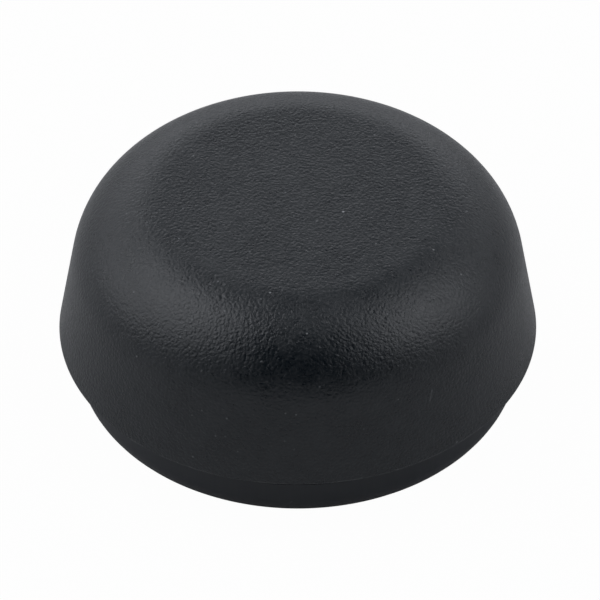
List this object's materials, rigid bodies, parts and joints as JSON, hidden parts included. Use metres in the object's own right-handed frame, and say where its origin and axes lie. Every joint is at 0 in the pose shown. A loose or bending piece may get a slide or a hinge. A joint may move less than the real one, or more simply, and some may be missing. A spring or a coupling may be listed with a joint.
{
  "type": "hole plug",
  "caption": "Round snap-in plug that covers and closes a hole in sheet metal or panel: deep black cap with rounded shoulder over a barbed, hollow skirt.",
  "frame": {"origin": "on the plug's axis, in the plane where the rim of the cap seats on the sheet", "axes": "+Z along the axis, from the hole out through the crown; X and Y are any two directions across, the plug being a solid of revolution"},
  "size_m": [0.032, 0.032, 0.0153],
  "materials": {
    "body": "black moulded plastic, fine pebble grain on the cap down to the rim, smooth satin below the rim and inside"
  },
  "bodies": {
    "root": {"plug": "body"}
  },
  "joints": []
}
